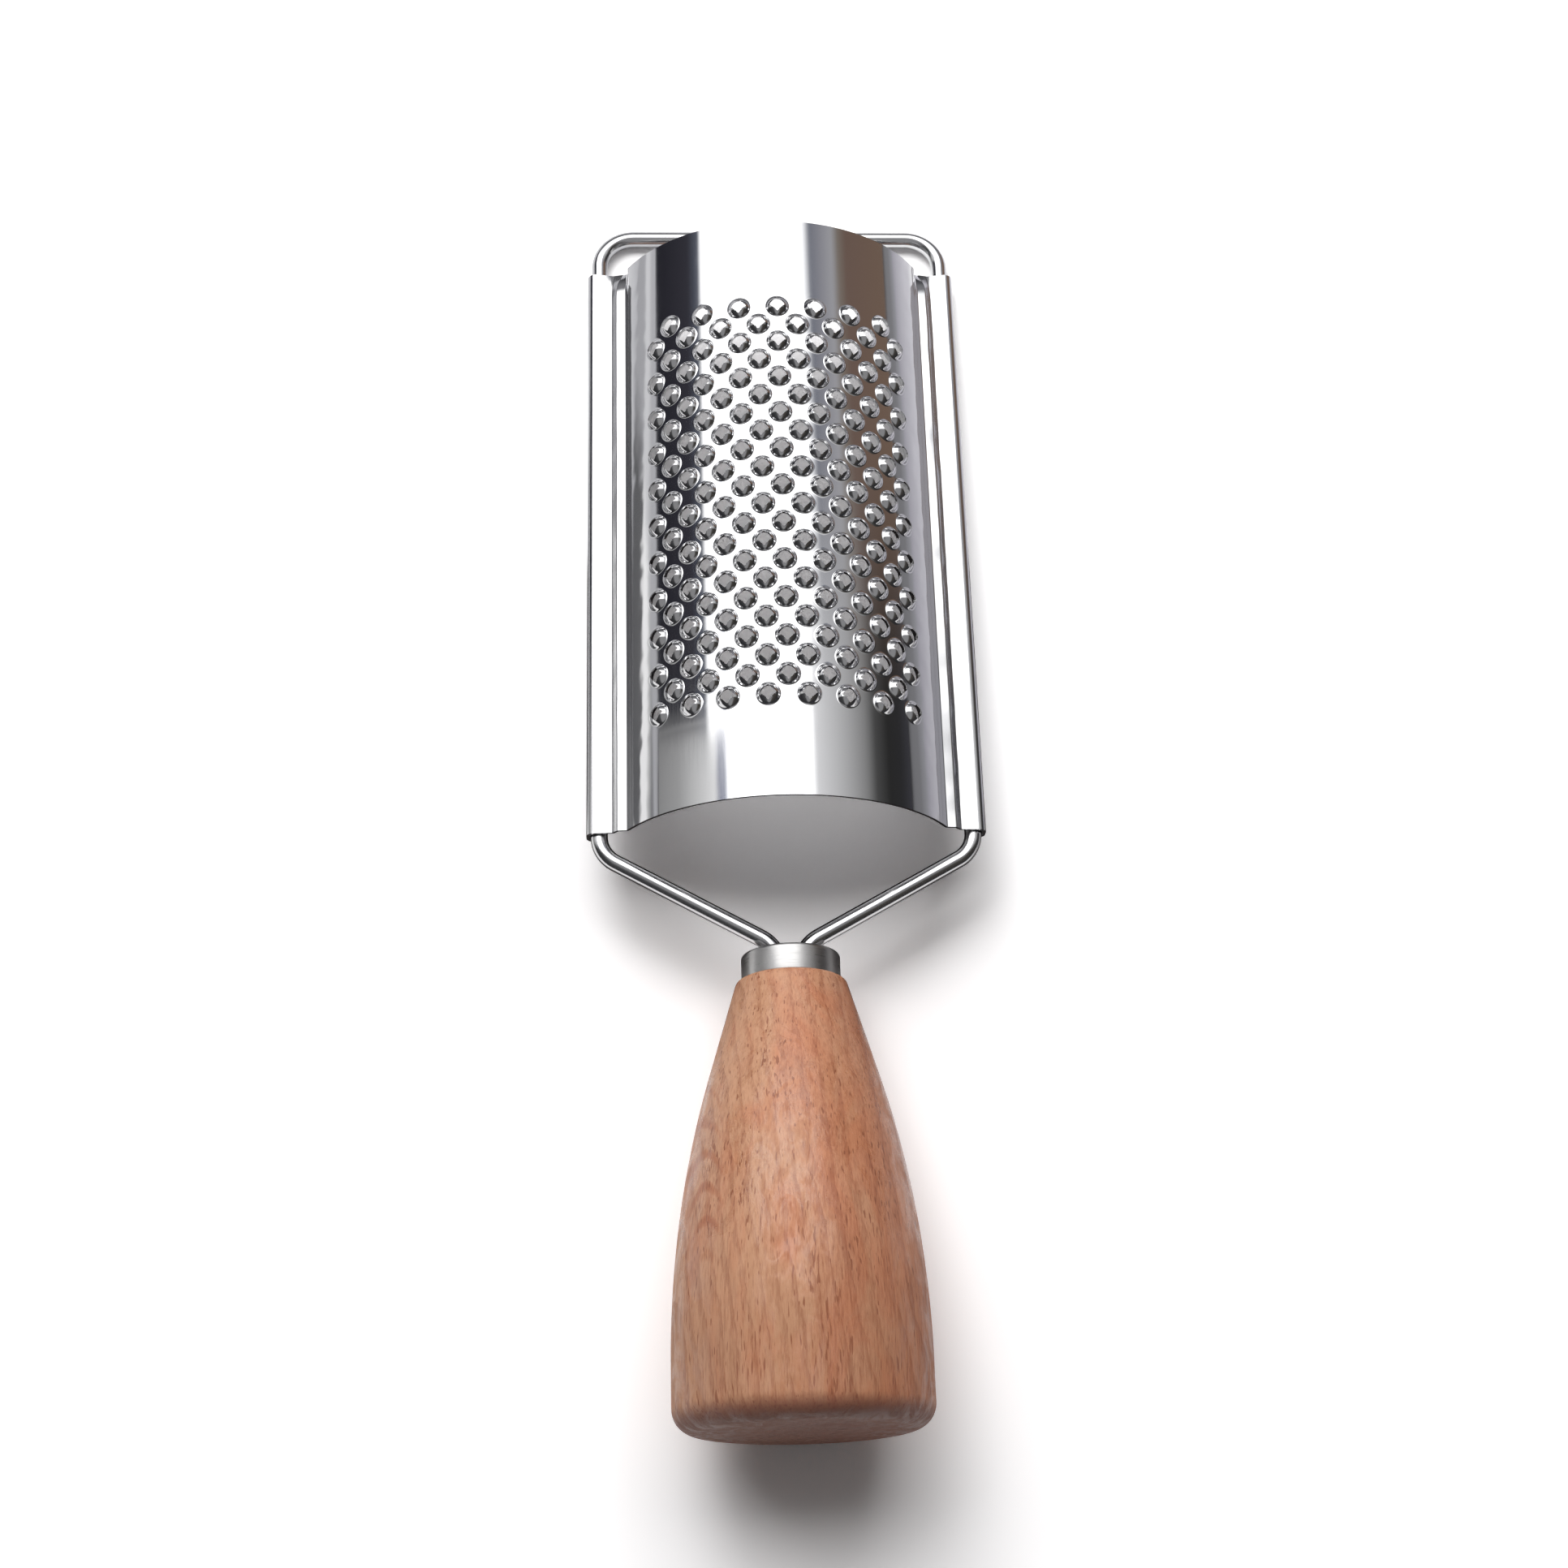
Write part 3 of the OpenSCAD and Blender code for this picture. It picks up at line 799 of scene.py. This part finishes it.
class GRATER_OT_ferrule(bpy.types.Operator):
    """Build the drawn steel cap on the front of the handle"""
    bl_idname = "grater.ferrule"
    bl_label = "Ferrule"

    def execute(self, context):
        handle = context.scene.grater_handle
        outer = handle.ferrule_radius
        inner = outer - handle.ferrule_wall
        lip = handle.lip_radius
        edge = 0.15 * MM
        quarter = pi / 2
        step = radians(10)
        end = handle.ferrule_length
        profile = [(handle.mouth_radius, handle.ferrule_wall)]
        profile += arc((handle.mouth_radius + edge, edge), edge, -2 * quarter, -quarter, step)
        profile += arc((outer - lip, lip), lip, -quarter, 0, step)
        profile += arc((outer - edge, end - edge), edge, 0, quarter, step)
        profile += [(inner, end), (inner, handle.ferrule_wall)]
        points, faces = turned(profile, FERRULE_SIDES)
        add_piece("ferrule_cap", points, faces, TURNED_SHARP, ferrule_steel(), "ferrule")
        return {"FINISHED"}


def handle_profile(handle):
    """Outline of the handle from the bottom of its bore round its outside to the middle of the butt."""
    taper = handle.taper
    start = handle.ferrule_length
    shoulder = (handle.neck_radius - handle.ferrule_radius) / (1 / cos(taper) - tan(taper))
    rise = handle.belly_radius - handle.neck_radius
    curve = (handle.belly_place * tan(taper) - rise) * cos(taper) / (1 - cos(taper))
    butt = start + handle.length
    rounding = handle.butt_rounding
    tenon = handle.ferrule_radius - handle.ferrule_wall - handle.fit_gap
    tenon_start = handle.ferrule_wall + handle.fit_gap
    step = radians(6)
    profile = [(0, handle.bore_depth), (handle.bore_radius, handle.bore_depth),
               (handle.bore_radius, tenon_start), (tenon, tenon_start), (tenon, start)]
    profile += arc((handle.ferrule_radius, start + shoulder), shoulder, -pi / 2, -taper, step)
    profile += arc((handle.belly_radius - curve, start + handle.belly_place), curve, -taper, 0, taper / 40)
    profile += arc((handle.belly_radius - rounding, butt - rounding), rounding, 0, pi / 2, step)
    profile += [(0, butt)]
    return profile


class GRATER_OT_handle(bpy.types.Operator):
    """Build the turned beech handle"""
    bl_idname = "grater.handle"
    bl_label = "Handle"

    def execute(self, context):
        points, faces = turned(handle_profile(context.scene.grater_handle), HANDLE_SIDES)
        add_piece("beech_handle", points, faces, TURNED_SHARP, beech(), "handle")
        return {"FINISHED"}


class GRATER_OT_glue(bpy.types.Operator):
    """Finish the hardened glue round the tangs"""
    bl_idname = "grater.glue"
    bl_label = "Glue"

    def execute(self, context):
        mesh = frame["nodes"]["bond_plug"].data
        mesh.materials.clear()
        mesh.materials.append(hard_glue())
        return {"FINISHED"}


class GRATER_OT_stage(bpy.types.Operator):
    """Set the floor, the lamps, the surroundings and the camera"""
    bl_idname = "grater.stage"
    bl_label = "Stage"

    def execute(self, context):
        scene = context.scene
        scene.view_settings.view_transform = "Standard"
        add_camera(scene)
        add_floor(scene)
        add_lamps(scene)
        add_surroundings(scene)
        return {"FINISHED"}


def add_camera(scene):
    stage = scene.grater_stage
    data = bpy.data.cameras.new("camera")
    data.sensor_width = 36
    data.lens = stage.lens
    data.clip_start = 0.01
    camera = bpy.data.objects.new("camera", data)
    camera.rotation_mode = "ZYX"
    camera.rotation_euler = stage.camera_turn
    camera.location = stage.camera_place
    scene.collection.objects.link(camera)
    scene.camera = camera


def add_floor(scene):
    """Pale floor: white to the camera apart from shadows, and in the polished metal a painted reflection, greyer
    away from the tool.
    """
    stage = scene.grater_stage
    corners = ((-1, -1), (1, -1), (1, 1), (-1, 1))
    mesh = bpy.data.meshes.new("floor")
    mesh.from_pydata([(x * FLOOR_HALF, y * FLOOR_HALF, 0) for x, y in corners], [], [(0, 1, 2, 3)])
    finish = Finish("Floor")
    finish.tree.nodes.remove(finish.shader)
    coords = finish.add("TexCoord").outputs["Object"]
    where = finish.split(coords)
    path = finish.add("LightPath").outputs
    # Painted reflections: for mirror rays only, the floor is tinted by the distance across from the middle of the
    # tool
    across = finish.span(where["X"], -TABLE_REACH, TABLE_REACH)
    painted_by_sheet, painted_by_neck = [
        finish.ramp(across, [((x + TABLE_REACH) / (2 * TABLE_REACH), tint) for x, tint in painted_reflection])
        for painted_reflection in (PAINTED_SHEET_REFLECTIONS, PAINTED_NECK_REFLECTIONS)]
    # The painted reflections beside the sheet fade next to the top bar on the left, and reach further back than the
    # middle does
    left = finish.math("LESS_THAN", where["X"], 0)
    painted_fade = finish.times(finish.span(where["Y"], 78 * MM, 100 * MM, 0, 0.7), left)
    painted_by_sheet = finish.mix(painted_fade, painted_by_sheet, (0.45, 0.45, 0.47, 1))
    beside = finish.span(finish.math("ABSOLUTE", where["X"]), 46 * MM, 52 * MM, 0, 44 * MM)
    painted_reflection = finish.mix(finish.span(where["Y"], -50 * MM, -30 * MM), stage.floor, painted_by_neck)
    painted_reflection = finish.mix(finish.span(finish.plus(where["Y"], beside), 44 * MM, 50 * MM), painted_reflection, painted_by_sheet)
    mirrored = finish.times(path["Is Glossy Ray"], finish.math("LESS_THAN", path["Diffuse Depth"], 0.5))
    tint = finish.mix(path["Is Camera Ray"], stage.floor, toned(stage.floor, stage.paper_white))
    paper = finish.add("BsdfDiffuse", {"Color": finish.mix(mirrored, tint, painted_reflection)})
    # Away from the tool, where no shadow falls, the camera sees the same white as near it
    away = finish.add("VectorMath", {0: coords}, operation="LENGTH").outputs["Value"]
    lift = finish.plus(finish.span(away, 0.1, 0.3, 0, 0.4, smooth=True), finish.span(away, 0.4, 1.6, 0, 0.6))
    glow = finish.add("Emission", {"Strength": finish.times(lift, path["Is Camera Ray"])})
    both = finish.add("AddShader", {0: paper.outputs[0], 1: glow.outputs[0]})
    finish.link(both.outputs[0], finish.output.inputs["Surface"])
    mesh.materials.append(finish.material)
    floor = bpy.data.objects.new("floor", mesh)
    floor.location.z = FLOOR_DROP
    scene.collection.objects.link(floor)


def add_lamps(scene):
    """Two large soft lamps beyond the tool, one of them to the left, that the polished metal doesn't mirror."""
    stage = scene.grater_stage
    for name, power, size, place in (("left_lamp", stage.left_power, 0.75, (-0.44, 0.63, 0.92)),
                                     ("far_lamp", stage.far_power, 1.1, (0, 0.75, 0.94))):
        data = bpy.data.lights.new(name, "AREA")
        data.size = size
        data.energy = power
        lamp = bpy.data.objects.new(name, data)
        lamp.location = place
        lamp.rotation_euler = (-Vector(place)).to_track_quat("-Z", "Y").to_euler()
        lamp.visible_glossy = False
        scene.collection.objects.link(lamp)


# Half of the floor's side in metres, and how far it lies under the tool
FLOOR_HALF = 3.0
FLOOR_DROP = -0.05 * MM
# Painted reflections of the table in the polished metal, which the floor shows to mirror rays only: tint by the
# distance across from the middle of the tool
TABLE_REACH = 0.3
PAINTED_SHEET_REFLECTIONS = (
    (-0.3, (0.2, 0.2, 0.21)), (-0.2, (0.2, 0.2, 0.21)), (-0.15, 0.45), (-0.125, 0.85), (-0.092, 0.85),
    (-0.083, (0.12, 0.12, 0.125)), (-0.056, (0.11, 0.11, 0.115)), (-0.051, (0.5, 0.5, 0.52)), (-0.04, 0.92),
    (0.036, 0.92), (0.044, (0.58, 0.57, 0.61)), (0.064, (0.46, 0.45, 0.49)), (0.086, (0.37, 0.36, 0.4)),
    (0.105, (0.27, 0.27, 0.29)), (0.16, (0.19, 0.19, 0.2)),
)
PAINTED_NECK_REFLECTIONS = (
    (-0.3, 0.85), (-0.06, 0.85), (-0.045, (0.05, 0.045, 0.045)), (0.045, (0.05, 0.045, 0.045)),
    (0.07, (0.35, 0.34, 0.34)), (0.3, (0.35, 0.34, 0.34)),
)
# And of the room: tint by the angle from straight up, in degrees to the right of the tool, as softboxes,
# flags and boards stand there. The first list stands beyond the tool, the second beside and before it.
FAR_BOARDS = (
    (-180, (0.45, 0.45, 0.49)), (-98, (0.4, 0.4, 0.44)), (-90, (0.1, 0.1, 0.12)), (-86, (0.018, 0.018, 0.024)),
    (-60, (0.035, 0.034, 0.044)), (-52, (0.09, 0.1, 0.13)), (-48, 2), (19, 2), (27, (0.18, 0.19, 0.225)),
    (35, (0.27, 0.27, 0.3)), (43, (0.36, 0.36, 0.38)), (48, (0.2, 0.17, 0.145)), (54, (0.155, 0.105, 0.085)),
    (86, (0.17, 0.115, 0.085)), (91, (0.34, 0.3, 0.28)), (180, (0.5, 0.49, 0.52)),
)
NEAR_BOARDS = (
    (-180, (0.4, 0.4, 0.42)), (-98, (0.36, 0.36, 0.37)), (-92, 0.25), (-72, 0.36), (-46, 0.8),
    (-43, (0.3, 0.31, 0.38)), (-39, (0.34, 0.36, 0.44)), (-36, 2), (15, 2), (20, (0.74, 0.74, 0.75)), (53, 0.24),
    (60, 0.07), (70, 0.024), (80, (0.026, 0.026, 0.028)), (92, (0.05, 0.05, 0.06)), (98, (0.24, 0.24, 0.27)),
    (180, (0.5, 0.5, 0.53)),
)
ROOM_BEHIND = (
    (-180, 0.1), (-70, (0.03, 0.03, 0.032)), (-35, (0.06, 0.06, 0.062)), (-20, (0.25, 0.25, 0.255)),
    (20, (0.25, 0.25, 0.255)), (35, (0.06, 0.055, 0.05)), (70, (0.03, 0.028, 0.026)), (180, 0.1),
)
# What it mirrors of itself, to the left and to the right, and the room beyond the tool and low down
TWICE_LEFT = (0.13, 0.13, 0.135, 1)
TWICE_RIGHT = (0.42, 0.415, 0.45, 1)
ROOM_BEYOND = (0.19, 0.19, 0.2, 1)
ROOM_LOW = (0.03, 0.03, 0.033, 1)


def add_surroundings(scene):
    """Even light for the object, white for the camera, and the studio's boards for the metal."""
    world = bpy.data.worlds.new("studio")
    world.use_nodes = True
    scene.world = world
    studio = Nodes(world.node_tree)
    # Directions in the tool's own frame, so that the boards stand square to it
    coords = studio.add("TexCoord").outputs["Generated"]
    turn = studio.add("Mapping", {"Vector": coords, "Rotation": tool_frame().to_euler()}, vector_type="TEXTURE")
    way = studio.split(turn.outputs[0])
    along = way["Y"]
    angle = studio.math("ARCTAN2", way["X"], way["Z"])
    round_share = studio.span(angle, -pi, pi)
    far_boards, near_boards, back_wall = [
        studio.ramp(round_share, [((degrees + 180) / 360, tint) for degrees, tint in boards])
        for boards in (FAR_BOARDS, NEAR_BOARDS, ROOM_BEHIND)]
    right = studio.math("GREATER_THAN", way["X"], 0)
    far = studio.add("Mix", {0: right, 2: studio.span(along, 0.386, 0.398, smooth=True),
                             3: studio.span(along, 0.395, 0.5, smooth=True)})
    boards = studio.mix(far.outputs[0], near_boards, far_boards)
    # Low down at both ends of the tool, the room is dark
    high = studio.span(way["Z"], 0.05, 0.5, smooth=True)
    beyond, behind = [studio.mix(high, ROOM_LOW, tint) for tint in (ROOM_BEYOND, back_wall)]
    boards = studio.mix(studio.span(along, 0.66, 0.8, smooth=True), boards, beyond)
    mirrored = studio.mix(studio.span(along, 0.0, 0.2, smooth=True), behind, boards)
    path = studio.add("LightPath").outputs
    # What one face of the metal mirrors of another, such as the foot of the arch of the flange, is softer there
    again = studio.math("GREATER_THAN", path["Glossy Depth"], 1.5)
    slant = studio.math("ABSOLUTE", angle)
    for start, full, low, high in ((48, 54, 0, 1), (74, 80, 1, 0)):
        again = studio.times(again, studio.span(slant, radians(start), radians(full), low, high))
    soft = studio.mix(right, TWICE_LEFT, TWICE_RIGHT)
    mirrored = studio.mix(studio.times(again, 0.8), mirrored, soft)
    level = (scene.grater_stage.ambient,) * 3 + (1,)
    seen = studio.mix(path["Is Glossy Ray"], level, mirrored)
    seen = studio.mix(path["Is Camera Ray"], seen, (1, 1, 1, 1))
    background = studio.add("Background", {"Color": seen})
    output = studio.add("OutputWorld")
    studio.link(background.outputs[0], output.inputs["Surface"])


class GRATER_PT_panel(bpy.types.Panel):
    """Lists the pieces of the grater and their sizes"""
    bl_idname = "GRATER_PT_panel"
    bl_label = "Hand Grater"
    bl_space_type = "VIEW_3D"
    bl_region_type = "UI"
    bl_category = "Grater"

    def draw(self, context):
        layout = self.layout
        for operator in OPERATORS:
            layout.operator(operator.bl_idname)
        for name in SETTINGS:
            group = getattr(context.scene, name)
            box = layout.box()
            for key in group.__annotations__:
                box.prop(group, key)


SETTINGS = {
    "grater_sheet": GraterSheetSettings,
    "grater_wire": GraterWireSettings,
    "grater_handle": GraterHandleSettings,
    "grater_finish": GraterFinishSettings,
    "grater_stage": GraterStageSettings,
}
OPERATORS = (GRATER_OT_stage, GRATER_OT_sheet, GRATER_OT_wire, GRATER_OT_ferrule, GRATER_OT_handle, GRATER_OT_glue)


def register():
    for name, group in SETTINGS.items():
        bpy.utils.register_class(group)
        setattr(bpy.types.Scene, name, PointerProperty(type=group))
    for operator in OPERATORS:
        bpy.utils.register_class(operator)
    bpy.utils.register_class(GRATER_PT_panel)


def unregister():
    bpy.utils.unregister_class(GRATER_PT_panel)
    for operator in reversed(OPERATORS):
        bpy.utils.unregister_class(operator)
    for name, group in SETTINGS.items():
        delattr(bpy.types.Scene, name)
        bpy.utils.unregister_class(group)


def main():
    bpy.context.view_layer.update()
    register()
    bpy.ops.grater.stage()
    bpy.ops.grater.sheet()
    bpy.ops.grater.wire()
    bpy.ops.grater.ferrule()
    bpy.ops.grater.handle()
    bpy.ops.grater.glue()


if __name__ == "__main__":
    main()
